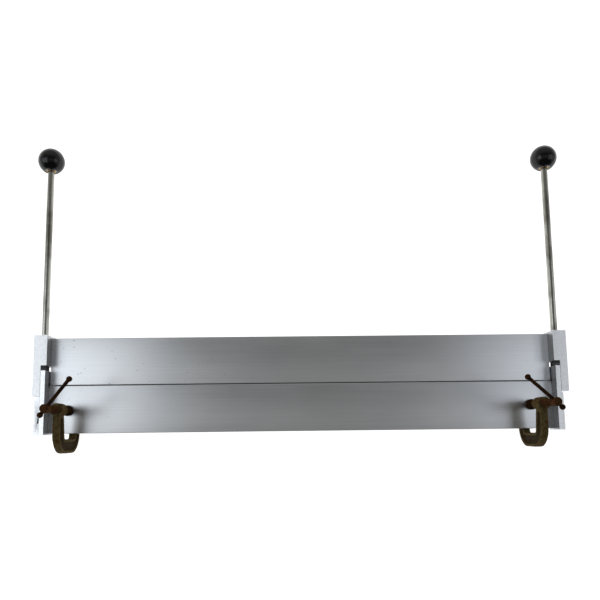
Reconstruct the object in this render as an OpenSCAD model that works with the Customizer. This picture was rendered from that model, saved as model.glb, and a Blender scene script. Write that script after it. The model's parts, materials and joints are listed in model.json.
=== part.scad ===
// Bench sheet-metal folder: a fixed bed beam and a folding leaf beam, hinged on
// the fold line by half-lapped end blocks, with two lever rods and two G-clamps.
// X runs along the beams, Y from the bed towards the levers, Z out of the working
// faces. The origin is the middle of the bed's working face.

/* [Beams] */
// Length of the leaf beam between its two end blocks
beam_len = 760; // [500:5:1000]
// Height of the leaf beam, measured away from the fold line
leaf_h = 72; // [60:1:110]
// Height of the bed beam, measured away from the fold line
bed_h = 72; // [66:1:110]
// Thickness of both beams
beam_t = 20; // [16:1:30]
// Gap between the two beams along the fold line
fold_gap = 0.8; // [0.4:0.1:1.6]

/* [Leaf blocks] */
// Width of a leaf block along the beams
block_w = 20; // [18:0.5:26]
// How far the end blocks and plates stand in front of the working faces
block_front = 18; // [14:0.5:19]
// How far the end blocks and plates reach behind the working faces
block_back = 16; // [15.5:0.5:19]
// How far a leaf block rises past the leaf beam's outer edge
block_rise = 2.6; // [0:0.1:8]
// Distance from the fold line to the underside of a block's wide part
notch_y = 29; // [28.8:0.1:32]
// How far a leaf block's outer leg drops past the fold line
leg_drop = 17.3; // [12:0.1:18]

/* [Bed plates] */
// Thickness of a bed plate
plate_t = 6.8; // [5:0.1:9]
// Gap between the leaf beam's end and the bed plate beside it
end_gap = 1.5; // [0.5:0.1:3]
// Gap between a bed plate and the leaf block's leg outside it
lap_gap = 0.3; // [0.2:0.05:1]
// Distance from the fold line to the top of a bed plate
plate_top = 21.5; // [14:0.1:21.5]
// How far a bed plate drops past the bed beam's outer edge
plate_drop = 2.1; // [0:0.1:8]
// Thickness of the packer screwed outside the left bed plate
packer_left_t = 8.9; // [2:0.1:10.5]
// Thickness of the packer screwed outside the right bed plate
packer_right_t = 2.4; // [2:0.1:10.5]
// Room between a leg's swinging corner and the packer's hollow
swing_gap = 1; // [0.5:0.1:1.5]
// Room left between a leg's front and the packer's top with the leaf turned up square
stop_gap = 0.7; // [0.3:0.1:1.5]
// Distance from the fold line to the lower end of the nick in the left packer's inner front edge
nick_y = 57; // [50:0.5:64]
// Height of that nick
nick_h = 8; // [2:0.5:12]
// Depth and width of that nick
nick_w = 2; // [1:0.1:2]

/* [Pivot pins] */
// Diameter of a pivot pin
pivot_d = 8; // [6:0.5:12]
// Running clearance round a pivot pin, on the radius
pivot_fit = 0.05; // [0.02:0.01:0.1]
// How far a pin's ends stay inside the faces they come out at
pivot_inset = 0.2; // [0.1:0.1:1]

/* [Screws] */
// Thread diameter of the countersunk screws in the beams' ends
screw_d = 5; // [4:0.5:5]
// Head diameter of those screws
screw_head_d = 10; // [8:0.5:10]
// Width across the flats of their hexagon sockets
screw_hex = 3; // [2:0.5:4]
// Depth of their hexagon sockets
screw_hex_depth = 2; // [1:0.1:2.5]
// How deep the screws run into a beam
screw_grip = 18; // [10:1:22]
// Clearance round a screw's shank in a block, plate or packer, on the radius
screw_fit = 0.25; // [0.1:0.05:0.5]
// Distance of the inner screw of each pair from the fold line
screw_inner_y = 38; // [36:1:38]
// How far the outer screw of each pair stands in from its beam's outer edge
screw_outer_in = 10.4; // [8:0.1:10.4]
// Depth of the screws' axes behind the working faces
screw_back = 10; // [8:0.5:10]

/* [Levers] */
// Diameter of a lever rod
rod_d = 10; // [8:0.5:12]
// Length of rod showing between the block and the knob
rod_shown = 263; // [150:1:400]
// Length of rod screwed into the block
rod_in_block = 20; // [12:1:30]
// Diameter of a ball knob
knob_d = 40; // [32:1:60]
// Diameter of the flat where the rod enters the knob
knob_flat_d = 22; // [18:1:28]
// Outer diameter of the threaded insert in a knob
insert_d = 14; // [13:0.5:17]
// Length of that insert
insert_len = 20; // [14:1:24]
// Thickness of the insert's closed end
insert_cap = 2; // [1:0.5:3]

/* [Clamp frames] */
// How far the left clamp's screw stands in from the leaf beam's left end
clamp_left_in = 27.5; // [24:0.5:120]
// How far the right clamp's screw stands in from the leaf beam's right end
clamp_right_in = 31.5; // [24:0.5:120]
// How far the left clamp's screw stands up from the bed beam's outer edge
clamp_left_up = 34.4; // [28:0.1:38]
// How far the right clamp's screw stands up from the bed beam's outer edge
clamp_right_up = 36.4; // [28:0.1:38]
// Breadth of a clamp's frame along the beams
frame_b = 11; // [8:0.5:14]
// Depth of the frame's two arms
arm_d = 19; // [14:0.5:22]
// Depth of the frame's spine
spine_d = 21; // [14:0.5:26]
// Distance from the working face to the inside of the front arm, half way along it
arm_front = 27; // [26:0.5:56]
// How far the front arm's inside slopes from that: nearer at the spine, further at the screw
arm_slope = 3; // [0.5:0.5:5]
// Distance from the screw to the inside of the spine
throat = 42.5; // [42:0.5:60]
// Outer corner radius of the frame
frame_r = 30; // [10:1:34]
// Inner corner radius of the frame
frame_in_r = 5; // [2:1:8]
// Width of the rim left round the recess in each side
rim = 4.2; // [3:0.1:6]
// Depth of that recess
recess = 2.8; // [1:0.1:3.5]
// Diameter of the boss that the clamp screw runs in
boss_d = 19; // [17:0.5:24]
// How far the boss stands out of the arm at each end
boss_step = 2; // [0.5:0.5:3]
// Diameter of the anvil
anvil_d = 17; // [12:0.5:20]
// How far the anvil stands out of the back arm
anvil_h = 2; // [1:0.5:4]
// Gap left between the jaws and the bed
jaw_gap = 0.1; // [0.05:0.05:0.3]

/* [Clamp screws] */
// Diameter of a clamp screw
spindle_d = 11; // [9:0.5:12]
// Running clearance round a clamp screw, on the radius
spindle_fit = 0.05; // [0.02:0.01:0.1]
// Height of a clamp screw's outer end above the working face
spindle_end = 93; // [86:1:110]
// Diameter of a clamp screw's head, which the tommy bar runs through
spindle_head_d = 12.5; // [12.5:0.5:16]
// Length of that head
spindle_head_len = 14; // [12:0.5:14]
// Distance of the tommy bar from that end
tommy_back = 6; // [5:0.5:9]
// Diameter of a clamp's swivel pad
pad_d = 16; // [14:0.5:20]
// Height of a swivel pad
pad_h = 11; // [9:0.5:12]
// Height of the pad's straight rim
pad_rim = 4; // [2:0.5:6]
// Diameter of a swivel pad's upper end
pad_top_d = 12.5; // [10:0.5:13]
// Diameter of the screw's nose inside the pad
nose_d = 7; // [5:0.5:7.5]
// Length of that nose
nose_len = 7; // [4:0.5:7.5]
// Running clearance round the nose, on the radius, and at its end
nose_fit = 0.05; // [0.02:0.01:0.1]
// Gap between the pad and the screw's shoulder
shoulder_gap = 0.3; // [0.2:0.1:0.5]

/* [Tommy bars] */
// Diameter of a tommy bar
tommy_d = 5.3; // [4:0.1:6]
// Running clearance round a tommy bar, on the radius
tommy_fit = 0.05; // [0.02:0.01:0.1]
// Distance between the middles of a tommy bar's two end knobs
tommy_len = 62; // [50:1:90]
// Diameter of those end knobs
tommy_knob_d = 8.4; // [7:0.1:10]
// Distance from the clamp screw to the nearer end knob
tommy_short = 11; // [11:0.5:16]
// Direction of the left tommy bar's long end, from +X towards +Y
tommy_left_deg = 52; // [0:0.5:180]
// Direction of the right tommy bar's long end, from +X towards +Y
tommy_right_deg = 137.5; // [0:0.5:180]

/* [Hidden] */
$fn = 72;

left = -1;
right = 1;
cut = 1;                                        // how far a cutter passes a face
fold_y = bed_h / 2 + fold_gap / 2;              // the fold line, from the origin
half = beam_len / 2;                            // inner face of a leaf block
plate_x = half + end_gap;                       // inner face of a bed plate
packer_x = plate_x + plate_t;                   // inner face of a packer
leg_x = packer_x + lap_gap;                     // inner face of a block's leg
block_out = half + block_w;                     // outer face of a leaf block
block_top = fold_gap / 2 + leaf_h + block_rise;
plate_low = fold_gap / 2 + bed_h + plate_drop;
packer_top = max(leg_drop, block_front + stop_gap);
swing_r = norm([leg_drop, max(block_front, block_back)]) + swing_gap;
head_depth = (screw_head_d - screw_d) / 2;      // a 90 degree countersunk head
leaf_screws_y = [screw_inner_y, fold_gap / 2 + leaf_h - screw_outer_in];
bed_screws_y = -[screw_inner_y, fold_gap / 2 + bed_h - screw_outer_in];
rod_x = half + block_w / 2;
rod_z = (block_front - block_back) / 2;
flat_off = sqrt(pow(knob_d / 2, 2) - pow(knob_flat_d / 2, 2));
knob_y = block_top + rod_shown + flat_off;      // middle of a ball knob
rod_in_knob = insert_len - insert_cap;
jaw_back = -beam_t - jaw_gap;                   // the anvil's face
arm_back = jaw_back - anvil_h;                  // inside of the back arm

function packer_t(side) = side < 0 ? packer_left_t : packer_right_t;
function clamp_x(side) = side < 0 ? clamp_left_in - half : half - clamp_right_in;
function clamp_y(side) = (side < 0 ? clamp_left_up : clamp_right_up) - fold_gap / 2 - bed_h;
function tommy_deg(side) = side < 0 ? tommy_left_deg : tommy_right_deg;

// Everything is drawn from the fold line and moved to the origin last.
module placed() translate([0, fold_y, 0]) children();

module on_side(side) {
    if (side < 0) mirror([1, 0, 0]) children();
    else children();
}

module box(from, to) translate(from) cube(to - from);

module along_x(from_x, y, z, length, d) {
    translate([from_x, y, z]) rotate([0, 90, 0]) cylinder(d = d, h = length);
}

// Countersunk screw pointing at -X with its head's outer face at out_x.
module screw_body(out_x, y, tip_x, grow) {
    along_x(tip_x, y, -screw_back, out_x - tip_x, screw_d + 2 * grow);
    translate([out_x - head_depth, y, -screw_back]) rotate([0, 90, 0])
        cylinder(d1 = screw_d, d2 = screw_head_d, h = head_depth);
}

module screw(out_x, y, tip_x) {
    difference() {
        screw_body(out_x, y, tip_x, 0);
        translate([out_x - screw_hex_depth, y, -screw_back]) rotate([0, 90, 0])
            cylinder(d = screw_hex / cos(30), h = screw_hex_depth + cut, $fn = 6);
    }
}

// Holes for the two screws of one beam end, at the heights listed in rows.
module screw_holes(rows, out_x, grow) {
    for (y = rows) screw_body(out_x, y, half - screw_grip, grow);
}

module screw_pair(rows, out_x) {
    for (y = rows) screw(out_x, y, half - screw_grip);
}

// ---- bed ----

module bed_beam() {
    placed() color("#b9bcc2") difference() {
        box([-plate_x, -fold_gap / 2 - bed_h, -beam_t], [plate_x, -fold_gap / 2, 0]);
        for (side = [left, right]) on_side(side)
            screw_holes(bed_screws_y, packer_x + packer_t(side), 0);
    }
}

module bed_plate(side) {
    placed() on_side(side) color("#e4e6ea") difference() {
        box([plate_x, -plate_low, -block_back], [packer_x, plate_top, block_front]);
        along_x(plate_x - cut, 0, 0, plate_t + 2 * cut, pivot_d);
        screw_holes(bed_screws_y, packer_x + packer_t(side), screw_fit);
    }
}

module bed_packer(side) {
    out_x = packer_x + packer_t(side);
    placed() on_side(side) color("#d6d8dc") difference() {
        box([packer_x, -plate_low, -block_back], [out_x, -packer_top, block_front]);
        along_x(packer_x - cut, 0, 0, packer_t(side) + 2 * cut, 2 * swing_r);
        screw_holes(bed_screws_y, out_x, screw_fit);
        if (side < 0) translate([packer_x - cut, -nick_y, block_front - nick_w])
            cube([nick_w + cut, nick_h, nick_w + cut]);
    }
}

module bed_screws(side) {
    placed() on_side(side) color("#7d7f82")
        screw_pair(bed_screws_y, packer_x + packer_t(side));
}

module pivot_pin(side) {
    placed() on_side(side) color("#8d8f92")
        along_x(plate_x + pivot_inset, 0, 0, block_out - plate_x - 2 * pivot_inset, pivot_d);
}

// ---- leaf ----

module leaf_beam() {
    placed() color("#b3b6bc") difference() {
        box([-half, fold_gap / 2, -beam_t], [half, fold_gap / 2 + leaf_h, 0]);
        for (side = [left, right]) on_side(side) screw_holes(leaf_screws_y, block_out, 0);
    }
}

module leaf_block(side) {
    placed() on_side(side) color("#dcdee2") difference() {
        union() {
            box([half, notch_y, -block_back], [block_out, block_top, block_front]);
            box([leg_x, -leg_drop, -block_back], [block_out, notch_y, block_front]);
        }
        along_x(leg_x - cut, 0, 0, block_out - leg_x + 2 * cut, pivot_d + 2 * pivot_fit);
        screw_holes(leaf_screws_y, block_out, screw_fit);
        translate([rod_x, block_top - rod_in_block, rod_z]) rotate([-90, 0, 0])
            cylinder(d = rod_d, h = rod_in_block + cut);
    }
}

module leaf_screws(side) {
    placed() on_side(side) color("#7d7f82")
        screw_pair(leaf_screws_y, block_out);
}

module lever_rod(side) {
    placed() on_side(side) color("#9a9b98")
        translate([rod_x, block_top - rod_in_block, rod_z]) rotate([-90, 0, 0])
            cylinder(d = rod_d, h = rod_in_block + rod_shown + rod_in_knob);
}

module knob_insert(side) {
    placed() on_side(side) color("#b08d4a")
        translate([rod_x, knob_y - flat_off, rod_z]) rotate([-90, 0, 0]) difference() {
            cylinder(d = insert_d, h = insert_len);
            translate([0, 0, -cut]) cylinder(d = rod_d, h = rod_in_knob + cut);
        }
}

module lever_knob(side) {
    placed() on_side(side) color("#141414")
        translate([rod_x, knob_y, rod_z]) rotate([-90, 0, 0]) difference() {
            sphere(d = knob_d);
            translate([-knob_d, -knob_d, -knob_d]) cube([2 * knob_d, 2 * knob_d, knob_d - flat_off]);
            translate([0, 0, -flat_off - cut]) cylinder(d = insert_d, h = insert_len + cut);
        }
}

// ---- clamps ----

// Rectangle in Y and Z, from (a0, b0) to (a1, b1), with its low-Y corners rounded.
module round_low(a0, a1, b0, b1, r) {
    translate([a0 + r, b0]) square([a1 - a0 - r, b1 - b0]);
    translate([a0, b0 + r]) square([r + cut / 100, b1 - b0 - 2 * r]);
    translate([a0 + r, b0 + r]) circle(r = r);
    translate([a0 + r, b1 - r]) circle(r = r);
}

// The C of a clamp's frame, drawn in by inset all round and ending at Y = end.
module frame_outline(y, end, inset) {
    spine_in = y - throat;
    slope_from = arm_front - arm_slope + inset;
    difference() {
        round_low(spine_in - spine_d + inset, end, arm_back - arm_d + inset,
            arm_front + arm_d - inset, frame_r - inset);
        round_low(spine_in - inset, end + cut, arm_back - inset, slope_from, frame_in_r + inset);
        polygon([[spine_in + frame_in_r, slope_from], [y + cut, slope_from],
            [y + cut, slope_from + 2 * arm_slope]]);
    }
}

// Stands an outline drawn in Y and Z up across X, centred on X = 0.
module across_x(width) {
    translate([-width / 2, 0, 0]) rotate([90, 0, 90]) linear_extrude(width) children();
}

module clamp_frame(side) {
    y = clamp_y(side);
    boss_from = arm_front - boss_step;
    boss_len = arm_d + 2 * boss_step;
    placed() translate([clamp_x(side), 0, 0]) color("#3a2c1c") difference() {
        union() {
            across_x(frame_b) frame_outline(y, y, 0);
            translate([0, y, boss_from]) cylinder(d = boss_d, h = boss_len);
            translate([0, y, arm_back - arm_d]) cylinder(d = anvil_d, h = arm_d + anvil_h);
        }
        for (dir = [left, right]) translate([dir * (frame_b - recess + cut) / 2, 0, 0])
            across_x(recess + cut) frame_outline(y, y - boss_d / 2 - rim, rim);
        translate([0, y, boss_from - cut]) cylinder(d = spindle_d + 2 * spindle_fit, h = boss_len + 2 * cut);
    }
}

module clamp_screw(side) {
    shoulder = jaw_gap + pad_h + shoulder_gap;
    placed() translate([clamp_x(side), clamp_y(side), 0]) color("#4b2a16") difference() {
        union() {
            translate([0, 0, shoulder]) cylinder(d = spindle_d, h = spindle_end - shoulder);
            translate([0, 0, spindle_end - spindle_head_len])
                cylinder(d = spindle_head_d, h = spindle_head_len);
            translate([0, 0, shoulder - shoulder_gap - nose_len])
                cylinder(d = nose_d, h = nose_len + shoulder_gap + cut);
        }
        translate([0, 0, spindle_end - tommy_back]) rotate([0, 90, tommy_deg(side)])
            cylinder(d = tommy_d + 2 * tommy_fit, h = 2 * spindle_d, center = true);
    }
}

module clamp_pad(side) {
    placed() translate([clamp_x(side), clamp_y(side), jaw_gap]) color("#45301d") difference() {
        union() {
            cylinder(d = pad_d, h = pad_rim);
            translate([0, 0, pad_rim]) cylinder(d1 = pad_d, d2 = pad_top_d, h = pad_h - pad_rim);
        }
        translate([0, 0, pad_h - nose_len - nose_fit])
            cylinder(d = nose_d + 2 * nose_fit, h = nose_len + nose_fit + cut);
    }
}

// Half of a tommy bar's outline, turned about its own axis.
module tommy_outline() {
    intersection() {
        union() {
            square([tommy_d / 2, tommy_len]);
            circle(d = tommy_knob_d);
            translate([0, tommy_len]) circle(d = tommy_knob_d);
        }
        translate([0, -tommy_knob_d]) square([tommy_knob_d, tommy_len + 2 * tommy_knob_d]);
    }
}

module tommy_bar(side) {
    placed() translate([clamp_x(side), clamp_y(side), spindle_end - tommy_back])
        rotate([0, 0, tommy_deg(side)]) translate([-tommy_short, 0, 0]) color("#3f2414")
            rotate([0, 90, 0]) rotate_extrude() tommy_outline();
}

bed_beam();
bed_plate(left);  // bed_plate_left
bed_plate(right);  // bed_plate_right
bed_packer(left);  // bed_packer_left
bed_packer(right);  // bed_packer_right
bed_screws(left);  // bed_screws_left
bed_screws(right);  // bed_screws_right
pivot_pin(left);  // pivot_pin_left
pivot_pin(right);  // pivot_pin_right
leaf_beam();
leaf_block(left);  // leaf_block_left
leaf_block(right);  // leaf_block_right
leaf_screws(left);  // leaf_screws_left
leaf_screws(right);  // leaf_screws_right
lever_rod(left);  // lever_rod_left
lever_rod(right);  // lever_rod_right
lever_knob(left);  // lever_knob_left
lever_knob(right);  // lever_knob_right
knob_insert(left);  // knob_insert_left
knob_insert(right);  // knob_insert_right
clamp_frame(left);  // clamp_frame_left
clamp_frame(right);  // clamp_frame_right
clamp_screw(left);  // clamp_screw_left
clamp_screw(right);  // clamp_screw_right
clamp_pad(left);  // clamp_pad_left
clamp_pad(right);  // clamp_pad_right
tommy_bar(left);  // tommy_bar_left
tommy_bar(right);  // tommy_bar_right
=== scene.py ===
import json
import math

import bmesh
import bpy
import numpy as np
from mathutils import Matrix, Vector


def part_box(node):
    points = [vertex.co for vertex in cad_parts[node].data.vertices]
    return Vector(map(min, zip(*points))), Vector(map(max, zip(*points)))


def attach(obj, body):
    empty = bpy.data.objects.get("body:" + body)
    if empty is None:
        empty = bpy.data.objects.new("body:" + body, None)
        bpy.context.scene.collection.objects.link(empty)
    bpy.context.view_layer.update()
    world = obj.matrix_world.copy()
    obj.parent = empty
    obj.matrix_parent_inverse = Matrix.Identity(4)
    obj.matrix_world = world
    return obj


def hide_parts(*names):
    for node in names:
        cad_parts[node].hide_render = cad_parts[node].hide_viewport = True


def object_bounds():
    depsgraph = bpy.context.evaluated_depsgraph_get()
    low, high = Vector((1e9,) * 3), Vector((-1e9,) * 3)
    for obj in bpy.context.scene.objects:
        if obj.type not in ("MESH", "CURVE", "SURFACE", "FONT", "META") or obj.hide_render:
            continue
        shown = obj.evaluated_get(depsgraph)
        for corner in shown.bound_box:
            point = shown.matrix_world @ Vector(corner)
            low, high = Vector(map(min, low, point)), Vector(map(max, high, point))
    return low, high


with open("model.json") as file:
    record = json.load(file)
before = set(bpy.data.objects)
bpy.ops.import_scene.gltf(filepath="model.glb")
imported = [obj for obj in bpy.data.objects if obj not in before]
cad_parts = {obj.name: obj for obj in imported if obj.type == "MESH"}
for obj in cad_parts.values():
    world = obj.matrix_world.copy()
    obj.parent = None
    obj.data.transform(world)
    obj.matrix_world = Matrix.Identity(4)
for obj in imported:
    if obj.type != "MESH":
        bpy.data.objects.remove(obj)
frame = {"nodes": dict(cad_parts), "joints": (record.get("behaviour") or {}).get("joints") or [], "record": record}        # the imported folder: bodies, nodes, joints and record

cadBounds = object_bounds()
record = frame["record"]
mm = 0.001
poleRadius = 0.05 * mm      # a turned end closes over a flat this small
sides = ("left", "right")
bodyOf = {node: body for body, members in record["behaviour"]["bodies"].items() for node in members}
joints = {joint["name"]: joint for joint in frame["joints"]}
print("frame loaded:", len(frame["nodes"]), "nodes")


def linearColour(hexText):
    # sRGB hex to the linear values that shaders take
    parts = [int(hexText[i:i + 2], 16) / 255 for i in (1, 3, 5)]
    curve = [p / 12.92 if p <= 0.04045 else ((p + 0.055) / 1.055) ** 2.4 for p in parts]
    return (*curve, 1.0)


def put(tree, kind, settings=None, links=None):
    # adds a node; settings go to its sockets or its own fields, links bring sockets in
    node = tree.nodes.new(kind)
    for key, value in (settings or {}).items():
        if isinstance(key, int) or key in node.inputs:
            node.inputs[key].default_value = value
        else:
            setattr(node, key, value)
    for key, source in (links or {}).items():
        tree.links.new(source, node.inputs[key])
    return node


def newMaterial(name):
    # an empty node material and its tree
    material = bpy.data.materials.new(name)
    material.use_nodes = True
    tree = material.node_tree
    tree.nodes.clear()
    return material, tree


def shadeAndSharpen(mesh, angle):
    # smooth shading, with edges steeper than angle degrees kept sharp
    mesh.polygons.foreach_set("use_smooth", np.ones(len(mesh.polygons), bool))
    mesh.set_sharp_from_angle(angle=math.radians(angle))


def makePiece(name, points, faces, material, angle=32):
    # closed shell from an array of points and a list of faces, with its faces turned outwards
    mesh = bpy.data.meshes.new(name)
    mesh.from_pydata(points.reshape(-1, 3).tolist(), [], faces)
    shell = bmesh.new()
    shell.from_mesh(mesh)
    bmesh.ops.recalc_face_normals(shell, faces=shell.faces)
    shell.to_mesh(mesh)
    shell.free()
    mesh.materials.append(material)
    shadeAndSharpen(mesh, angle)
    piece = bpy.data.objects.new(name, mesh)
    bpy.context.scene.collection.objects.link(piece)
    return piece


def standFor(piece, node):
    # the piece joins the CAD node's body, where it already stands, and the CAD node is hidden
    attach(piece, bodyOf[node])
    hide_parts(node)
    return piece


def tubeFaces(rings, around):
    # quads between neighbouring rings of a closed tube, and one flat face over each end
    ring = np.arange(rings - 1)[:, None] * around
    here = np.arange(around)[None, :]
    after = (here + 1) % around
    quads = np.stack([ring + here, ring + after, ring + after + around, ring + here + around], -1)
    last = (rings - 1) * around
    ends = [list(range(around))[::-1], list(range(last, last + around))]
    return quads.reshape(-1, 4).tolist() + ends


def axisFrame(axis):
    # two directions square to an axis and to each other
    axis = np.array(axis, float) / np.linalg.norm(axis)
    other = np.array([0.0, 0.0, 1.0]) if abs(axis[2]) < 0.9 else np.array([0.0, 1.0, 0.0])
    first = np.cross(other, axis)
    first /= np.linalg.norm(first)
    return axis, first, np.cross(axis, first)


def turnedPoints(profile, centre, axis, around):
    # point = centre + axis * height + radius * (cos turn * first + sin turn * second)
    axis, first, second = axisFrame(axis)
    radius, height = np.array(profile, float).T
    turn = np.linspace(0, 2 * np.pi, around, endpoint=False)
    spoke = np.cos(turn)[:, None] * first + np.sin(turn)[:, None] * second
    return np.array(centre) + height[:, None, None] * axis + radius[:, None, None] * spoke


def turned(name, profile, centre, axis, material, around, angle=32):
    # a profile of (radius, height) pairs carried round an axis, as a closed piece
    points = turnedPoints(profile, centre, axis, around)
    return makePiece(name, points, tubeFaces(len(profile), around), material, angle)


def arc(centreR, centreH, radius, fromDeg, toDeg, steps):
    # arc of a turned profile, as (radius, height) pairs
    turn = np.radians(np.linspace(fromDeg, toDeg, steps))
    return np.stack([centreR + radius * np.cos(turn), centreH + radius * np.sin(turn)], -1)


def latticeNoise(points, cell, seed):
    # random numbers at the corners of a cubic lattice, blended with a smooth fade between them
    table = np.random.default_rng(seed).random(4096)
    place = points / cell
    low = np.floor(place).astype(np.int64)
    fade = place - low
    fade = fade * fade * (3 - 2 * fade)
    total = np.zeros(len(points))
    for corner in np.ndindex(2, 2, 2):
        key = (low + corner) * np.array([73856093, 19349663, 83492791])
        weight = np.where(np.array(corner) == 1, fade, 1 - fade).prod(1)
        total += weight * table[(key[:, 0] ^ key[:, 1] ^ key[:, 2]) & 4095]
    return total


def roughen(mesh, bumps):
    # each (cell, height, seed) moves every point along its normal by noise * height
    count = len(mesh.vertices)
    points, normals = np.empty(count * 3), np.empty(count * 3)
    mesh.vertices.foreach_get("co", points)
    mesh.vertex_normals.foreach_get("vector", normals)
    points, normals = points.reshape(-1, 3), normals.reshape(-1, 3)
    shift = sum(height * (latticeNoise(points, cell, seed) - 1) for cell, height, seed in bumps)
    points = points + normals * shift[:, None]
    mesh.vertices.foreach_set("co", points.ravel())
    mesh.update()


def paintedShadeInside(mesh):
    # painted shade = 1 on every face that isn't part of the piece's own box: notches, nicks and bores
    count = len(mesh.polygons)
    centres, normals = np.empty(count * 3), np.empty(count * 3)
    points = np.empty(len(mesh.vertices) * 3)
    mesh.polygons.foreach_get("center", centres)
    mesh.polygons.foreach_get("normal", normals)
    mesh.vertices.foreach_get("co", points)
    centres, normals, points = centres.reshape(-1, 3), normals.reshape(-1, 3), points.reshape(-1, 3)
    gap = np.minimum(np.abs(centres - points.min(0)), np.abs(centres - points.max(0)))
    onBox, square = 0.05 * mm, 0.99        # how near the box, and how squarely facing it
    outer = ((gap < onBox) & (np.abs(normals) > square)).any(1)
    mesh.attributes.new("shadeAndGrime", "FLOAT", "FACE").data.foreach_set("value", (~outer).astype(float))


softened = {"merge": 0.002 * mm, "flatDeg": 0.5, "sharpDeg": 30, "segments": 2}


def softenedCopy(node, name, material, width):
    # a merged copy of a CAD node with its sharp edges rounded over
    mesh = frame["nodes"][node].data.copy()
    mesh.name = name
    shell = bmesh.new()
    shell.from_mesh(mesh)
    bmesh.ops.remove_doubles(shell, verts=shell.verts, dist=softened["merge"])
    bmesh.ops.dissolve_limit(shell, angle_limit=math.radians(softened["flatDeg"]),
                             verts=shell.verts, edges=shell.edges)
    bmesh.ops.recalc_face_normals(shell, faces=shell.faces)
    shell.to_mesh(mesh)
    shell.free()
    mesh.materials.clear()
    mesh.materials.append(material)
    shadeAndSharpen(mesh, softened["sharpDeg"])
    paintedShadeInside(mesh)
    piece = bpy.data.objects.new(name, mesh)
    bpy.context.scene.collection.objects.link(piece)
    edge = piece.modifiers.new("edges", "BEVEL")
    edge.width, edge.segments, edge.limit_method = width, softened["segments"], "ANGLE"
    edge.angle_limit, edge.use_clamp_overlap = math.radians(softened["sharpDeg"]), True
    return standFor(piece, node)


def noiseAt(tree, coords, perMetre, detail=3, roughness=0.55, scale=(1, 1, 1), turn=(0, 0, 0)):
    # fractal noise with perMetre cells to the metre, stretched by scale
    mapping = put(tree, "ShaderNodeMapping", {"Scale": scale, "Rotation": turn}, {"Vector": coords})
    noise = put(tree, "ShaderNodeTexNoise", {"Scale": perMetre, "Detail": detail, "Roughness": roughness},
                {"Vector": mapping.outputs[0]})
    return noise.outputs["Fac"]


def ramp(tree, source, low, high, outLow=0.0, outHigh=1.0):
    # stretches source from low..high to outLow..outHigh with a smooth middle
    node = put(tree, "ShaderNodeMapRange",
               {"interpolation_type": "SMOOTHSTEP", "From Min": low, "From Max": high,
                "To Min": outLow, "To Max": outHigh}, {"Value": source})
    return node.outputs[0]


def mixColour(tree, factor, first, second):
    # colours are hex text or sockets
    node = put(tree, "ShaderNodeMix", {"data_type": "RGBA"})
    for index, value in ((6, first), (7, second)):
        if isinstance(value, str):
            node.inputs[index].default_value = linearColour(value)
        else:
            tree.links.new(value, node.inputs[index])
    tree.links.new(factor, node.inputs[0])
    return node.outputs[2]


def maths(tree, operation, first, second=0.0):
    # one arithmetic node; first and second are numbers or sockets
    node = put(tree, "ShaderNodeMath", {"operation": operation})
    for index, value in enumerate((first, second)):
        if isinstance(value, (int, float)):
            node.inputs[index].default_value = value
        else:
            tree.links.new(value, node.inputs[index])
    return node.outputs[0]


def finishShader(tree, settings, links, height=None, depth=0.0, strength=1.0):
    # principled shader with an optional bump of the given depth in metres
    shader = put(tree, "ShaderNodeBsdfPrincipled", settings, links)
    if height is not None:
        bump = put(tree, "ShaderNodeBump", {"Distance": depth, "Strength": strength}, {"Height": height})
        tree.links.new(bump.outputs[0], shader.inputs["Normal"])
    put(tree, "ShaderNodeOutputMaterial", links={"Surface": shader.outputs[0]})
    return shader


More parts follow.
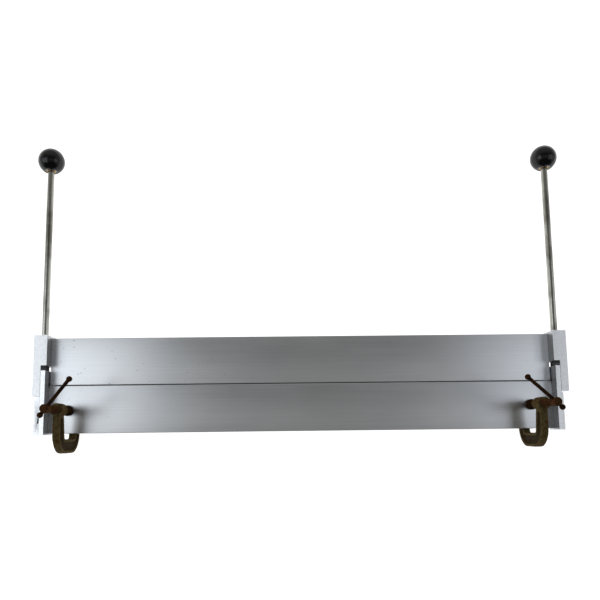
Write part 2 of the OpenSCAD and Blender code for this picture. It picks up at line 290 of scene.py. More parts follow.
def extrudedAluminiumBar(name, seedTurn, marks):
    # Flat aluminium bar as it left the die: faint long draw lines, a soft grey sheen, and the
    # small dark pits and scuffs that sheet metal leaves, thickest near one end.
    bar = {"bright": "#d3d5d7", "dull": "#c9cbce", "pit": "#565a60",
           "linesPerMetre": 520,        # draw lines 2 mm apart; the real ones are too fine to show
           "cloudsPerMetre": 14,        # sheen that changes over about 70 mm
           "pitsPerMetre": 180,         # at most one pit to a cell of 5.5 mm
           "patchesPerMetre": 38,       # patches with pits, about 26 mm across
           "raggedPerMetre": 900,       # pit rims broken up at about 1 mm
           # hair scratches 1.5 mm apart: cells to the metre, stretch, turn and level where they start
           "scratches": ((700, 0.03, 0.42, 0.70), (620, 0.025, -0.9, 0.71)),
           "markedEnd": (-0.32, -0.05),     # metres along the bar where the marks thin out
           "fewMarks": 0.2,                 # share of them left beyond it
           "roughness": (0.31, 0.37), "markRoughness": 0.25, "pitDepth": 0.06 * mm}
    material, tree = newMaterial(name)
    coords = put(tree, "ShaderNodeTexCoord").outputs["Object"]
    lines = noiseAt(tree, coords, bar["linesPerMetre"], 4, 0.6, (0.008, 1, 1))
    clouds = noiseAt(tree, coords, bar["cloudsPerMetre"], 4, 0.55, (0.45, 1, 1), (0, 0, seedTurn))
    tone = maths(tree, "ADD", maths(tree, "MULTIPLY", lines, 0.55), maths(tree, "MULTIPLY", clouds, 0.45))
    plain = mixColour(tree, ramp(tree, tone, 0.35, 0.68), bar["dull"], bar["bright"])
    # a pit sits in the middle of a lattice cell, where the patches and the end mask let it
    warped = put(tree, "ShaderNodeMapping", {"Scale": (0.55, 1, 1), "Rotation": (0, 0, 0.5 + seedTurn)},
                 {"Vector": coords})
    cells = put(tree, "ShaderNodeTexVoronoi",
                {"feature": "F1", "Scale": bar["pitsPerMetre"], "Randomness": 1.0},
                {"Vector": warped.outputs[0]})
    across = put(tree, "ShaderNodeSeparateXYZ", links={"Vector": coords}).outputs["X"]
    nearEnd = ramp(tree, across, *bar["markedEnd"], marks, bar["fewMarks"] * marks)
    patches = ramp(tree, noiseAt(tree, coords, bar["patchesPerMetre"], 2, 0.5, turn=(0, 0, 1 + seedTurn)),
                   0.47, 0.60)
    ragged = maths(tree, "MULTIPLY", noiseAt(tree, coords, bar["raggedPerMetre"], 3, 0.6), 0.30)
    spots = ramp(tree, maths(tree, "ADD", cells.outputs["Distance"], ragged), 0.20, 0.32, 1.0, 0.0)
    pits = maths(tree, "MULTIPLY", maths(tree, "MULTIPLY", spots, patches), nearEnd)
    hairs = [ramp(tree, noiseAt(tree, coords, perMetre, 2, 0.5, (stretch, 1, 1), (0, 0, turn)),
                  start, start + 0.08) for perMetre, stretch, turn, start in bar["scratches"]]
    scratches = maths(tree, "MULTIPLY", maths(tree, "MAXIMUM", *hairs), nearEnd)
    marked = mixColour(tree, maths(tree, "MULTIPLY", pits, 0.75), plain, bar["pit"])
    rough = maths(tree, "ADD", ramp(tree, tone, 0.3, 0.7, *bar["roughness"]),
                  maths(tree, "MULTIPLY", maths(tree, "MAXIMUM", pits, scratches), bar["markRoughness"]))
    height = maths(tree, "SUBTRACT", maths(tree, "MULTIPLY", lines, 0.06),
                   maths(tree, "ADD", pits, maths(tree, "MULTIPLY", scratches, 0.35)))
    finishShader(tree, {"Metallic": 1.0}, {"Base Color": marked, "Roughness": rough},
                 height, bar["pitDepth"], 0.5)
    return material


def sawnAluminiumBlock(name, turn, pale, worn, roughness):
    # Block sawn from plate and dressed with a file: pale, almost white, with fine speckle,
    # shallow tool marks and dark grains in the pits; painted shade makes the sides that look
    # along X greyer and darkens the notches and bores.
    block = {"grain": "#7b7e82", "paintedSideShade": "#a9abae", "shadeAndGrime": "#303134",
             "specksPerMetre": 1300,      # specks 0.8 mm across
             "mottlePerMetre": 380,       # blotches of 2.6 mm
             "filePerMetre": 1400,        # file strokes 0.7 mm apart, coarser than real to show
             "strokeStretch": 0.05, "markDepth": 0.015 * mm}
    material, tree = newMaterial(name)
    coords = put(tree, "ShaderNodeTexCoord").outputs["Object"]
    speck = noiseAt(tree, coords, block["specksPerMetre"], 3, 0.65)
    mottle = noiseAt(tree, coords, block["mottlePerMetre"], 4, 0.6, turn=(0, 0, turn))
    strokes = noiseAt(tree, coords, block["filePerMetre"], 2, 0.5,
                      (1, block["strokeStretch"], block["strokeStretch"]), (0, 0, turn))
    base = mixColour(tree, ramp(tree, mottle, 0.38, 0.66), pale, worn)
    darks = maths(tree, "MULTIPLY", ramp(tree, speck, 0.62, 0.72), ramp(tree, mottle, 0.45, 0.60))
    grained = mixColour(tree, maths(tree, "MULTIPLY", darks, 0.4), base, block["grain"])
    # painted shade: the faces that look along X are painted greyer, as sides in shade
    localNormal = put(tree, "ShaderNodeVectorTransform",
                      {"vector_type": "NORMAL", "convert_from": "WORLD", "convert_to": "OBJECT"},
                      {"Vector": put(tree, "ShaderNodeNewGeometry").outputs["Normal"]})
    facing = put(tree, "ShaderNodeSeparateXYZ", links={"Vector": localNormal.outputs[0]}).outputs["X"]
    paintedSideShade = maths(tree, "MULTIPLY", ramp(tree, maths(tree, "ABSOLUTE", facing), 0.6, 0.9), 0.85)
    # painted shade: faces inside notches and bores are mixed towards a dark grey
    deep = put(tree, "ShaderNodeAttribute", {"attribute_name": "shadeAndGrime"}).outputs["Fac"]
    colour = mixColour(tree, maths(tree, "MULTIPLY", deep, 0.85),
                       mixColour(tree, paintedSideShade, grained, block["paintedSideShade"]), block["shadeAndGrime"])
    rough = ramp(tree, mottle, 0.3, 0.7, *roughness)
    height = maths(tree, "ADD", maths(tree, "MULTIPLY", speck, 0.6), maths(tree, "MULTIPLY", strokes, 0.4))
    finishShader(tree, {"Metallic": 1.0}, {"Base Color": colour, "Roughness": rough},
                 height, block["markDepth"], 0.2)
    return material


def drawnSteelRod():
    # Bright-drawn mild steel gone dull: streaks along the rod and thin grey-brown tarnish.
    rod = {"bright": "#a6a69f", "tarnish": "#5f5d53",
           "streaksPerMetre": 900,      # streaks 1.1 mm apart, coarser than real to show
           "stainsPerMetre": 45,        # tarnish that comes and goes over 20 mm
           "roughness": (0.16, 0.36), "streakDepth": 0.03 * mm}
    material, tree = newMaterial("drawnSteelRod")
    coords = put(tree, "ShaderNodeTexCoord").outputs["Object"]
    streaks = noiseAt(tree, coords, rod["streaksPerMetre"], 3, 0.6, (1, 0.02, 1))
    stains = noiseAt(tree, coords, rod["stainsPerMetre"], 4, 0.6, (1, 0.6, 1))
    mask = maths(tree, "MULTIPLY", ramp(tree, stains, 0.42, 0.68), 0.75)
    colour = mixColour(tree, mask, rod["bright"], rod["tarnish"])
    tone = maths(tree, "ADD", streaks, maths(tree, "MULTIPLY", stains, 0.5))
    rough = ramp(tree, tone, 0.5, 1.0, *rod["roughness"])
    finishShader(tree, {"Metallic": 1.0}, {"Base Color": colour, "Roughness": rough},
                 streaks, rod["streakDepth"], 0.4)
    return material


def mouldedPhenolic():
    # Black phenolic knob, moulded and polished: deep gloss with faint handling scuffs.
    knob = {"black": "#0c0c0d", "scuff": "#1b1b1c",
            "scuffsPerMetre": 220,      # dull spots of 4.5 mm
            "hairsPerMetre": 900,       # hairlines 1.1 mm apart
            "roughness": (0.10, 0.26), "hairDepth": 0.01 * mm}
    material, tree = newMaterial("mouldedPhenolic")
    coords = put(tree, "ShaderNodeTexCoord").outputs["Object"]
    scuffs = ramp(tree, noiseAt(tree, coords, knob["scuffsPerMetre"], 5, 0.65), 0.55, 0.75)
    hairNoise = noiseAt(tree, coords, knob["hairsPerMetre"], 2, 0.5, (1, 0.08, 1), (0.3, 0.2, 0.6))
    marks = maths(tree, "MAXIMUM", maths(tree, "MULTIPLY", scuffs, 0.6), ramp(tree, hairNoise, 0.66, 0.78))
    colour = mixColour(tree, marks, knob["black"], knob["scuff"])
    rough = ramp(tree, marks, 0.0, 1.0, *knob["roughness"])
    finishShader(tree, {"IOR": 1.5, "Specular IOR Level": 0.3}, {"Base Color": colour, "Roughness": rough},
                 marks, knob["hairDepth"], 0.3)
    return material


def rustedIron(name, paint, rust, dark, paintShare, grainPerMetre):
    # Old malleable iron: the last of its dark paint, brown rust coming through it in patches,
    # and a coarse sandy skin, grains of 0.7 to 0.9 mm, that kills nearly all the shine.
    iron = {"shadeAndGrime": "#160c05",
            "patchesPerMetre": 90,      # rust patches of 11 mm
            "stainsPerMetre": 240,      # darker stains of 4 mm
            "roughness": (0.74, 0.88), "grainRoughness": 0.1, "skinDepth": 0.25 * mm}
    material, tree = newMaterial(name)
    coords = put(tree, "ShaderNodeTexCoord").outputs["Object"]
    patches = noiseAt(tree, coords, iron["patchesPerMetre"], 5, 0.65)
    grain = noiseAt(tree, coords, grainPerMetre, 4, 0.7)
    stains = noiseAt(tree, coords, iron["stainsPerMetre"], 3, 0.6, turn=(0.4, 0.2, 0.7))
    rusted = ramp(tree, patches, paintShare - 0.07, paintShare + 0.07)
    base = mixColour(tree, rusted, paint, rust)
    shaded = mixColour(tree, maths(tree, "MULTIPLY", ramp(tree, stains, 0.45, 0.7), 0.7), base, dark)
    colour = mixColour(tree, maths(tree, "MULTIPLY", ramp(tree, grain, 0.55, 0.8), 0.5), shaded, dark)
    # grime and painted shade darken the hollows in the frame's sides
    deep = put(tree, "ShaderNodeAttribute", {"attribute_name": "shadeAndGrime"}).outputs["Fac"]
    grimedAndShaded = mixColour(tree, maths(tree, "MULTIPLY", deep, 0.72), colour, iron["shadeAndGrime"])
    rough = maths(tree, "ADD", ramp(tree, rusted, 0.0, 1.0, *iron["roughness"]),
                  maths(tree, "MULTIPLY", grain, iron["grainRoughness"]))
    height = maths(tree, "ADD", grain, maths(tree, "MULTIPLY", patches, 0.8))
    finishShader(tree, {"Specular IOR Level": 0.04}, {"Base Color": grimedAndShaded, "Roughness": rough},
                 height, iron["skinDepth"], 0.8)
    return material


def turnedMetal(name, bright, dull, roughLow, roughHigh):
    # Small turned or plated fittings: fine rings from the tool under a thin dull film.
    fitting = {"filmPerMetre": 300,     # film that clouds over 3 mm
               "ringsPerMetre": 2600,   # tool rings 0.4 mm apart
               "ringDepth": 0.01 * mm}
    material, tree = newMaterial(name)
    coords = put(tree, "ShaderNodeTexCoord").outputs["Object"]
    film = noiseAt(tree, coords, fitting["filmPerMetre"], 4, 0.6)
    rings = noiseAt(tree, coords, fitting["ringsPerMetre"], 2, 0.5, (0.2, 1, 1))
    colour = mixColour(tree, ramp(tree, film, 0.35, 0.7), bright, dull)
    rough = ramp(tree, film, 0.3, 0.7, roughLow, roughHigh)
    finishShader(tree, {"Metallic": 1.0}, {"Base Color": colour, "Roughness": rough},
                 rings, fitting["ringDepth"], 0.4)
    return material


leafAluminium = extrudedAluminiumBar("extrudedAluminiumLeaf", 0.0, 1.0)
bedAluminium = extrudedAluminiumBar("extrudedAluminiumBed", 0.8, 0.35)
blockAluminium = sawnAluminiumBlock("sawnAluminiumBlock", 0.3, "#eaecee", "#e0e2e4", (0.34, 0.42))
plateAluminium = sawnAluminiumBlock("filedAluminiumPlate", 1.1, "#eceef0", "#e4e6e9", (0.26, 0.32))
rodSteel = drawnSteelRod()
knobPhenolic = mouldedPhenolic()
clampIron = rustedIron("rustedPaintedIron", "#564a2f", "#4e3219", "#20160b", 0.60, 1100)
screwSteel = rustedIron("rustedScrewSteel", "#402b18", "#4a2f18", "#1b0f08", 0.48, 1500)
padSteel = rustedIron("rustedPadSteel", "#24180d", "#311d0e", "#0e0804", 0.50, 1300)
tommySteel = rustedIron("rustedTommySteel", "#24170e", "#33200f", "#0e0805", 0.48, 1500)
platedSteel = turnedMetal("dulledZincPlate", "#8f9091", "#5d5e60", 0.30, 0.45)
pinSteel = turnedMetal("groundSteelPin", "#a3a3a2", "#77777a", 0.22, 0.35)
insertBrass = turnedMetal("turnedBrass", "#b08d4a", "#7d6234", 0.28, 0.42)
print("materials made")


bars = {"edge": 0.9 * mm, "cornerSteps": 5}


def barAlongX(name, node, material):
    # a rounded rectangle in Y and Z carried along X; at a turn of t from each end the station
    # is edge * (1 - cos t) in, and the outline is edge * (1 - sin t) smaller all round
    low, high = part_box(node)
    edge, steps = bars["edge"], bars["cornerSteps"]
    turn = np.linspace(0, np.pi / 2, steps)
    stations = np.concatenate([low.x + edge * (1 - np.cos(turn)), high.x - edge * (1 - np.cos(turn))[::-1]])
    shrink = np.concatenate([edge * (1 - np.sin(turn)), edge * (1 - np.sin(turn))[::-1]])
    corner = np.repeat(np.arange(4), steps)
    angle = corner * np.pi / 2 + np.tile(turn, 4)
    signs = np.array([[1, 1], [-1, 1], [-1, -1], [1, -1]])[corner]
    middle = np.array([(low.y + high.y) / 2, (low.z + high.z) / 2])
    half = np.array([(high.y - low.y) / 2, (high.z - low.z) / 2]) - edge
    spread = np.stack([np.cos(angle), np.sin(angle)], -1)
    outline = middle + signs * half + (edge - shrink)[:, None, None] * spread
    points = np.empty((len(stations), len(angle), 3))
    points[:, :, 0] = stations[:, None]
    points[:, :, 1:] = outline
    piece = makePiece(name, points, tubeFaces(len(stations), len(angle)), material, 40)
    return standFor(piece, node)


barAlongX("bedBar", "bed_beam", bedAluminium)
barAlongX("leafBar", "leaf_beam", leafAluminium)
print("bars made")

# what each CAD node becomes: name, finish and edge width
endPieces = {"leaf_block_": ("leafBlock", blockAluminium, 0.5 * mm),
             "bed_plate_": ("bedPlate", plateAluminium, 0.35 * mm),
             "bed_packer_": ("bedPacker", plateAluminium, 0.35 * mm),
             "leaf_screws_": ("leafScrews", platedSteel, 0.15 * mm),
             "bed_screws_": ("bedScrews", platedSteel, 0.15 * mm),
             "pivot_pin_": ("pivotPin", pinSteel, 0.4 * mm)}
for side in sides:
    for node, (name, material, edge) in endPieces.items():
        softenedCopy(node + side, name + side.capitalize(), material, edge)
print("blocks, plates, screws and pins made")


rods = {"chamfer": 0.8 * mm, "rings": 40, "around": 48}


def leverRod(side):
    # straight turned bar with a small chamfer at each end
    node = "lever_rod_" + side
    low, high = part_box(node)
    radius, length, chamfer = (high.x - low.x) / 2, high.y - low.y, rods["chamfer"]
    heights = np.linspace(chamfer, length - chamfer, rods["rings"])
    profile = [(radius - chamfer, 0)] + [(radius, h) for h in heights] + [(radius - chamfer, length)]
    base = ((low.x + high.x) / 2, low.y, (low.z + high.z) / 2)
    piece = turned("leverRod" + side.capitalize(), profile, base, (0, 1, 0), rodSteel, rods["around"])
    return standFor(piece, node)


knobs = {"lip": 0.8 * mm, "socketChamfer": 0.4 * mm, "poleDeg": 89.6, "rings": 44, "around": 72}


def leverKnob(side):
    # ball with a flat where the rod enters, a rounded lip round the flat and a socket for the insert
    node = "lever_knob_" + side
    low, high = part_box(node)
    insertLow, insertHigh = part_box("knob_insert_" + side)
    rodLow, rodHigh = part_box("lever_rod_" + side)
    radius = (high.z - low.z) / 2
    ballY = high.y - radius
    flat = low.y - ballY
    socket, bevel = (insertHigh.x - insertLow.x) / 2, knobs["socketChamfer"]
    socketTop = insertHigh.y - ballY
    lip = knobs["lip"]
    flatRadius = math.sqrt(radius ** 2 - flat ** 2)
    startDeg = math.degrees(math.atan2(flat + lip * 0.6, flatRadius + lip * 0.2))
    profile = np.concatenate([
        [(poleRadius, socketTop), (socket, socketTop), (socket, flat + bevel), (socket + bevel, flat)],
        [(flatRadius - lip, flat), (flatRadius - lip * 0.35, flat + lip * 0.12)],
        arc(0, 0, radius, startDeg, knobs["poleDeg"], knobs["rings"])])
    base = ((rodLow.x + rodHigh.x) / 2, ballY, (rodLow.z + rodHigh.z) / 2)
    piece = turned("leverKnob" + side.capitalize(), profile, base, (0, 1, 0), knobPhenolic,
                   knobs["around"], 50)
    return standFor(piece, node)


for side in sides:
    leverRod(side)
    leverKnob(side)
    insert = frame["nodes"]["knob_insert_" + side]
    insert.data.materials.clear()
    insert.data.materials.append(insertBrass)
print("levers made")


def smoothStep(value, low, high):
    # 0 below low, 1 above high and an easy curve between
    share = np.clip((value - low) / (high - low), 0, 1)
    return share * share * (3 - 2 * share)


clampShape = {"armDepth": 19 * mm, "armSlope": 3 * mm, "spineDepth": 21 * mm, "breadth": 11 * mm,
              "outerRadius": 30 * mm, "innerRadius": 5 * mm,
              "bossStep": 2 * mm, "anvilStep": 2 * mm, "anvilRadius": 8.5 * mm, "bossEdge": 1.2 * mm,
              "flange": 4.2 * mm, "recess": 2.6 * mm, "recessStart": (10 * mm, 15 * mm),
              "recessSlope": (1.0 * mm, 1.2 * mm),
              "edge": 1.0 * mm, "armRings": 16, "bendRings": 14, "spineRings": 14, "acrossSide": 33,
              "voxel": 0.5 * mm, "easing": (0.5, 3), "boreClearance": 0.05 * mm,
              # cast skin: cell, height and seed of each layer of bumps
              "skin": [(5.0 * mm, 0.22 * mm, 11), (1.6 * mm, 0.16 * mm, 12)],
              # grime and painted shade: how deep and how squarely to the side a point lies
              "shadeAndGrimeDepth": (0.6 * mm, 2.4 * mm), "shadeAndGrimeFacing": (0.25, 0.7)}


def openCurve(yEnd, yLow, zBack, zFront, zEnd, radius, shape):
    # front arm from (yEnd, zEnd), round the spine and back to (yEnd, zBack), in Y and Z:
    # straight, quarter circle, straight, quarter circle, straight
    turn = np.linspace(0, np.pi / 2, shape["bendRings"], endpoint=False)
    y0, front, back = yLow + radius, zFront - radius, zBack + radius
    return np.concatenate([
        np.linspace((yEnd, zEnd), (y0, zFront), shape["armRings"], endpoint=False),
        np.stack([y0 - radius * np.sin(turn), front + radius * np.cos(turn)], -1),
        np.linspace((yLow, front), (yLow, back), shape["spineRings"], endpoint=False),
        np.stack([y0 - radius * np.cos(turn), back - radius * np.sin(turn)], -1),
        np.linspace((y0, zBack), (yEnd, zBack), shape["armRings"], endpoint=False),
        [(yEnd, zBack)]])


def sweptFrame(x, yEnd, box, shape):
    # rings of points between the inner and the outer curve; half breadth = the flange's, less a
    # smooth hollow in the web, less a quarter round at each rim
    low, high = box
    front, back = high.z - shape["bossStep"], low.z
    underArm, slope = front - shape["armDepth"], shape["armSlope"]
    inner = openCurve(yEnd, low.y + shape["spineDepth"], back + shape["armDepth"], underArm - slope,
                      underArm + slope, shape["innerRadius"], shape)
    outer = openCurve(yEnd, low.y, back, front, front, shape["outerRadius"], shape)
    middle = (inner + outer) / 2
    along = np.concatenate([[0], np.cumsum(np.linalg.norm(np.diff(middle, axis=0), axis=1))])
    hollow = shape["recess"] * smoothStep(np.minimum(along, along[-1] - along), *shape["recessStart"])
    share = (np.sin(np.linspace(-1, 1, shape["acrossSide"]) * np.pi / 2) + 1) / 2
    depth = np.linalg.norm(outer - inner, axis=1)[:, None]
    rim = np.minimum(share, 1 - share) * depth
    slopeOut, slopeIn = shape["recessSlope"]
    web = smoothStep(rim, shape["flange"] - slopeOut, shape["flange"] + slopeIn) * hollow[:, None]
    edge = shape["edge"]
    gone = np.clip(edge - rim, 0, edge)
    side = shape["breadth"] / 2 - web - edge + np.sqrt(edge ** 2 - gone ** 2)
    place = inner[:, None, :] + share[None, :, None] * (outer - inner)[:, None, :]
    points = np.empty((len(inner), 2 * share.size, 3))
    points[:, :share.size, 0], points[:, share.size:, 0] = x + side, x - side[:, ::-1]
    points[:, :share.size, 1:], points[:, share.size:, 1:] = place, place[:, ::-1]
    return points


def addShell(shell, points, faces):
    # puts one closed shell of points and faces into a bmesh
    verts = [shell.verts.new(p) for p in points.reshape(-1, 3)]
    for face in faces:
        shell.faces.new([verts[i] for i in face])


def appliedMesh(piece, name):
    # the mesh as its modifiers leave it
    graph = bpy.context.evaluated_depsgraph_get()
    graph.update()
    mesh = bpy.data.meshes.new_from_object(piece.evaluated_get(graph))
    mesh.name = name
    return mesh


def shadeAndGrimeInHollows(mesh, x, shape):
    # grime and painted shade = how far a point on the frame's sides lies below the rims
    count = len(mesh.vertices)
    points, normals = np.empty(count * 3), np.empty(count * 3)
    mesh.vertices.foreach_get("co", points)
    mesh.vertex_normals.foreach_get("vector", normals)
    sunk = shape["breadth"] / 2 - np.abs(points[0::3] - x)
    shadeAndGrime = smoothStep(sunk, *shape["shadeAndGrimeDepth"]) * smoothStep(np.abs(normals[0::3]), *shape["shadeAndGrimeFacing"])
    mesh.attributes.new("shadeAndGrime", "FLOAT", "POINT").data.foreach_set("value", shadeAndGrime)


def clampFrame(side):
    # arms and spine swept from one section, boss and anvil turned, all grown together by a voxel
    # remesh so that they meet in soft cast fillets, then roughened and drilled for the screw
    node = "clamp_frame_" + side
    low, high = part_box(node)
    screwLow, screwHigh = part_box("clamp_screw_" + side)
    shape = clampShape
    x, yBoss = (screwLow.x + screwHigh.x) / 2, (screwLow.y + screwHigh.y) / 2
    bossRadius, edge = (high.x - low.x) / 2, shape["bossEdge"]
    anvilTop = low.z + shape["armDepth"] + shape["anvilStep"]
    bossLow = high.z - shape["armDepth"] - 2 * shape["bossStep"]
    shell = bmesh.new()
    arms = sweptFrame(x, yBoss, (low, high), shape)
    addShell(shell, arms, tubeFaces(*arms.shape[:2]))
    for radius, bottom, top in ((bossRadius, bossLow, high.z), (shape["anvilRadius"], low.z, anvilTop)):
        profile = np.concatenate([arc(radius - edge, bottom + edge, edge, -90, 0, 5),
                                  arc(radius - edge, top - edge, edge, 0, 90, 5)])
        points = turnedPoints(profile, (x, yBoss, 0), (0, 0, 1), 48)
        addShell(shell, points, tubeFaces(*points.shape[:2]))
    bmesh.ops.recalc_face_normals(shell, faces=shell.faces)
    rough = bpy.data.meshes.new("clampBlank")
    shell.to_mesh(rough)
    shell.free()
    blank = bpy.data.objects.new("clampBlank", rough)
    bpy.context.scene.collection.objects.link(blank)
    grown = blank.modifiers.new("grown", "REMESH")
    grown.mode, grown.voxel_size = "VOXEL", shape["voxel"]
    eased = blank.modifiers.new("eased", "SMOOTH")
    eased.factor, eased.iterations = shape["easing"]
    cast = appliedMesh(blank, "clampCast")
    roughen(cast, shape["skin"])
    blank.modifiers.clear()
    blank.data = cast
    bore, past = spindle["radius"] + shape["boreClearance"], 3 * mm
    drill = turned("drill", [(bore, bossLow - past), (bore, high.z + past)], (x, yBoss, 0), (0, 0, 1),
                   clampIron, 48)
    hole = blank.modifiers.new("hole", "BOOLEAN")
    hole.object, hole.operation, hole.solver = drill, "DIFFERENCE", "EXACT"
    mesh = appliedMesh(blank, "clampFrame" + side.capitalize())
    bpy.data.objects.remove(blank)
    bpy.data.objects.remove(drill)
    mesh.materials.clear()
    mesh.materials.append(clampIron)
    shadeAndSharpen(mesh, 40)
    shadeAndGrimeInHollows(mesh, x, shape)
    piece = bpy.data.objects.new("clampFrame" + side.capitalize(), mesh)
    bpy.context.scene.collection.objects.link(piece)
    return standFor(piece, node)


spindle = {"radius": 5.5 * mm, "pitch": 2.5 * mm, "depth": 1.1 * mm, "step": 0.25 * mm, "around": 56,
           "runOut": (5 * mm, 2 * mm), "headLength": 14 * mm, "chamfer": 1.4 * mm,
           "nose": 3.5 * mm, "edge": 0.8 * mm, "padGap": 0.3 * mm,
           "headEdge": 0.9 * mm, "headRings": 8, "chamferRings": 6, "flank": (0.35, 0.75),
           "rust": [(2.6 * mm, 0.20 * mm, 21)]}      # cell, height and seed of the rust's bumps


def clampScrew(side):
    # radius = bar radius - depth * (a flat-topped wave of height / pitch - turn / full turn),
    # with a plain neck under a rounded head
    node = "clamp_screw_" + side
    low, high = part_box(node)
    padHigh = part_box("clamp_pad_" + side)[1]
    radius, headRadius = spindle["radius"], (high.x - low.x) / 2
    shoulder, headLow = padHigh.z + spindle["padGap"], high.z - spindle["headLength"]
    around = spindle["around"]
    heights = np.arange(shoulder, headLow, spindle["step"])
    turn = np.linspace(0, 2 * np.pi, around, endpoint=False)
    wave = np.mod(heights[:, None] / spindle["pitch"] - turn[None, :] / (2 * np.pi), 1)
    groove = smoothStep(np.abs(2 * wave - 1), *spindle["flank"])
    fadeLow, fadeHigh = spindle["runOut"]
    fade = 1 - smoothStep(heights, headLow - fadeLow, headLow - fadeHigh)
    radii = radius - spindle["depth"] * groove * fade[:, None]
    nose, chamfer, edge = spindle["nose"], spindle["chamfer"], spindle["edge"]
    lowRings = [(nose - edge, low.z), (nose, low.z + edge), (nose, shoulder - 0.01 * mm),
                (radius - spindle["depth"], shoulder)]
    topRings = [(headRadius - edge, headLow), (headRadius, headLow + spindle["headEdge"])]
    headSide = np.linspace(headLow + 2 * mm, high.z - chamfer - 0.5 * mm, spindle["headRings"])
    topRings += [(headRadius, h) for h in headSide]
    topRings += arc(headRadius - chamfer, high.z - chamfer, chamfer, 0, 88, spindle["chamferRings"]).tolist()
    allRadii = np.concatenate([[[r] * around for r, h in lowRings], radii,
                               [[r] * around for r, h in topRings]])
    allHeights = np.concatenate([[h for r, h in lowRings], heights, [h for r, h in topRings]])
    points = np.stack([(low.x + high.x) / 2 + allRadii * np.cos(turn),
                       (low.y + high.y) / 2 + allRadii * np.sin(turn),
                       np.repeat(allHeights[:, None], around, 1)], -1)
    piece = makePiece("clampScrew" + side.capitalize(), points, tubeFaces(*points.shape[:2]), screwSteel, 50)
    roughen(piece.data, spindle["rust"])
    return standFor(piece, node)


cup = {"edge": 1.0 * mm, "rimHeight": 4 * mm, "neck": 6.2 * mm, "neckRise": (0.6 * mm, 6.4 * mm),
       "socketRadius": 3.6 * mm, "around": 56}


def clampPad(side):
    # low cup with a rounded rim, waisted towards the screw, with a socket for its nose
    node = "clamp_pad_" + side
    low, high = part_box(node)
    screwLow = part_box("clamp_screw_" + side)[0]
    radius, top = (high.x - low.x) / 2, high.z - low.z
    nose, socket, edge, neck = cup["socketRadius"], screwLow.z - low.z, cup["edge"], cup["neck"]
    out, rise = cup["neckRise"]
    profile = np.concatenate([
        [(poleRadius, 0)], arc(radius - edge, edge, edge, -90, 0, 6),
        arc(radius - edge, cup["rimHeight"], edge, 0, 60, 5), [(neck + out, rise)],
        arc(neck - edge, top - edge, edge, 0, 90, 5), [(nose, top), (nose, socket), (poleRadius, socket)]])
    base = ((low.x + high.x) / 2, (low.y + high.y) / 2, low.z)
    piece = turned("clampPad" + side.capitalize(), profile, base, (0, 0, 1), padSteel, cup["around"], 40)
    return standFor(piece, node)


tommy = {"barRadius": 2.65 * mm, "endRings": 16, "barRings": 60, "around": 40,
         "endTurn": (0.08, np.pi * 0.78),      # part of each end ball's half circle that has rings
         "dents": [(3.0 * mm, 0.16 * mm, 31), (1.2 * mm, 0.10 * mm, 32)]}      # cell, height, seed


def tommyBar(side):
    # bar with hammered ends: radius = larger of the bar's and each end ball's, with dents from noise
    node = "tommy_bar_" + side
    slide = Vector(joints["tommy_slide_" + side]["axis"])
    low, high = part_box(node)
    knob = (high.z - low.z) / 2
    length = math.hypot(high.x - low.x - 2 * knob, high.y - low.y - 2 * knob)
    span = length + 2 * knob
    ends = knob * (1 - np.cos(np.linspace(*tommy["endTurn"], tommy["endRings"])))
    straight = np.linspace(knob * 2.0, span - knob * 2.0, tommy["barRings"])
    along = np.concatenate([ends, straight, span - ends[::-1]])
    offEnd = np.minimum(along, span - along) - knob
    radii = np.sqrt(np.maximum(knob ** 2 - offEnd ** 2, 0))
    radii = np.where(offEnd > 0, np.maximum(radii, tommy["barRadius"]), radii)
    start = (low + high) / 2 - slide * (span / 2)
    piece = turned("tommyBar" + side.capitalize(), np.stack([radii, along], -1), start, slide,
                   tommySteel, tommy["around"], 50)
    roughen(piece.data, tommy["dents"])
    return standFor(piece, node)


for side in sides:
    clampFrame(side)
    clampScrew(side)
    clampPad(side)
    tommyBar(side)
print("clamps made")


# floor colour and glow, and paintedShadowHex: the colour of the painted shadow under the beams
studio = {"floorSize": 9.0, "floorHex": "#f4f4f4", "floorGlow": 0.85, "paintedShadowHex": "#26272a",
          "ceiling": 1.40}
floorZ = cadBounds[0].z
half = studio["floorSize"] / 2
floorMesh = bpy.data.meshes.new("floor")
corners = ((-half, -half), (half, -half), (half, half), (-half, half))
floorMesh.from_pydata([(x, y, floorZ) for x, y in corners], [], [(0, 1, 2, 3)])
# pale card, lit from within so that it stays white, with a painted shadow where the beams lie over it: there
# it goes dark and stops glowing
floorMaterial, floorTree = newMaterial("paleCardPaintedShadow")
floorAxes = put(floorTree, "ShaderNodeSeparateXYZ",
                links={"Vector": put(floorTree, "ShaderNodeTexCoord").outputs["Object"]})
# how far outside and inside the bars' outline the painted shadow starts and is full
shade = {"endsOut": 14 * mm, "endsIn": 4 * mm, "bedIn": 26 * mm, "leafStart": 6 * mm, "leafIn": 32 * mm}
bedLow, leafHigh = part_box("bed_beam")[0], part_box("leaf_beam")[1]
paintedShadowAlongX = maths(floorTree, "MULTIPLY",
               ramp(floorTree, floorAxes.outputs["X"], bedLow.x - shade["endsOut"],
                    bedLow.x + shade["endsIn"]),
               ramp(floorTree, floorAxes.outputs["X"], leafHigh.x - shade["endsIn"],
                    leafHigh.x + shade["endsOut"], 1.0, 0.0))
paintedShadowAlongY = maths(floorTree, "MULTIPLY",
               ramp(floorTree, floorAxes.outputs["Y"], bedLow.y, bedLow.y + shade["bedIn"]),
               ramp(floorTree, floorAxes.outputs["Y"], leafHigh.y - shade["leafIn"],
                    leafHigh.y - shade["leafStart"], 1.0, 0.0))
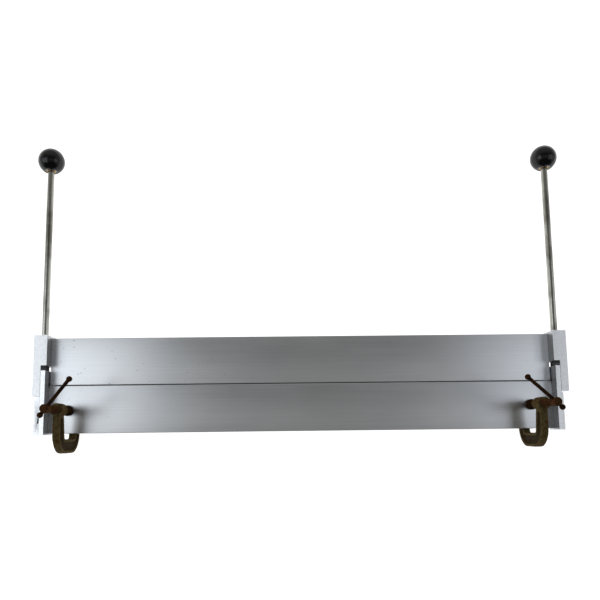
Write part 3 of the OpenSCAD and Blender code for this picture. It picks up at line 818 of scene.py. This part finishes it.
# painted shadow: 1 under the beams, where the floor is darkened and its glow turned off
paintedShadow = maths(floorTree, "MULTIPLY", paintedShadowAlongX, paintedShadowAlongY)
finishShader(floorTree, {"Roughness": 0.9, "Emission Color": (1, 1, 1, 1)},
             {"Base Color": mixColour(floorTree, paintedShadow, studio["floorHex"], studio["paintedShadowHex"]),
              "Emission Strength": ramp(floorTree, paintedShadow, 0.0, 1.0, studio["floorGlow"], 0.0)})
floorMesh.materials.append(floorMaterial)
floor = bpy.data.objects.new("floor", floorMesh)
bpy.context.scene.collection.objects.link(floor)

# the room: dim overhead and a little lighter above the bed, light along the far side and both
# ends, dark on the near side; each glow is an axis, its span there and the levels at both ends
room = {"tint": (1.0, 0.985, 0.955, 1.0), "level": 0.125,
        "glows": {"far": ("Y", 0.20, 0.85, 0.0, 0.45),
                  "aboveBed": ("Y", 0.02, 0.13, 0.23, 0.0),
                  "near": ("Y", -0.55, -0.15, -0.30, 0.0),
                  "leftEnd": ("X", -0.95, -0.60, 0.55, 0.0),
                  "rightEnd": ("X", 0.60, 0.95, 0.0, 0.40)}}
world = bpy.data.worlds.new("room")
world.use_nodes = True
bpy.context.scene.world = world
roomTree = world.node_tree
roomTree.nodes.clear()
direction = put(roomTree, "ShaderNodeTexCoord").outputs["Generated"]
axes = put(roomTree, "ShaderNodeSeparateXYZ", links={"Vector": direction})
level = room["level"]
for axis, *span in room["glows"].values():
    level = maths(roomTree, "ADD", ramp(roomTree, axes.outputs[axis], *span), level)
background = put(roomTree, "ShaderNodeBackground", {"Color": room["tint"]}, {"Strength": level})
put(roomTree, "ShaderNodeOutputWorld", links={"Surface": background.outputs[0]})

# ceiling panels: radiance is watts / (pi * area), so the watts follow from the level wanted
panels = [
    {"name": "leftPanel", "x": (-2.90, -0.80), "y": (-0.45, 0.75), "level": 1.45, "tint": (0.89, 0.945, 1.0)},
    {"name": "rightPanel", "x": (1.01, 2.90), "y": (-0.45, 0.75), "level": 0.82, "tint": (0.85, 0.91, 1.0)},
    {"name": "leftLamp", "x": (-2.35, -1.95), "y": (0.10, 0.50), "level": 5.0, "tint": (1.0, 1.0, 1.0)},
    {"name": "rightLamp", "x": (1.95, 2.35), "y": (0.10, 0.50), "level": 5.0, "tint": (1.0, 1.0, 1.0)}]
for panel in panels:
    (x0, x1), (y0, y1) = panel["x"], panel["y"]
    light = bpy.data.lights.new(panel["name"], "AREA")
    light.shape, light.size, light.size_y = "RECTANGLE", x1 - x0, y1 - y0
    light.energy = panel["level"] * math.pi * (x1 - x0) * (y1 - y0)
    light.color = panel["tint"]
    holder = bpy.data.objects.new(panel["name"], light)
    holder.location = ((x0 + x1) / 2, (y0 + y1) / 2, studio["ceiling"])
    bpy.context.scene.collection.objects.link(holder)

eye = {"at": (-25.2 * mm, -35.0 * mm, 921.1 * mm), "turnDeg": (6.743, -0.559, -0.640),
       "lens": 36.45, "sensor": 36.0, "shift": (0.0145, 0.0979), "clip": (0.05, 20.0)}
camera = bpy.data.cameras.new("overhead")
camera.lens, camera.sensor_width = eye["lens"], eye["sensor"]
camera.shift_x, camera.shift_y = eye["shift"]
camera.clip_start, camera.clip_end = eye["clip"]
cameraHolder = bpy.data.objects.new("overhead", camera)
cameraHolder.location = eye["at"]
cameraHolder.rotation_euler = [math.radians(a) for a in eye["turnDeg"]]
bpy.context.scene.collection.objects.link(cameraHolder)
bpy.context.scene.camera = cameraHolder
bpy.context.scene.view_settings.view_transform = "Standard"
print("stage, light and camera set")
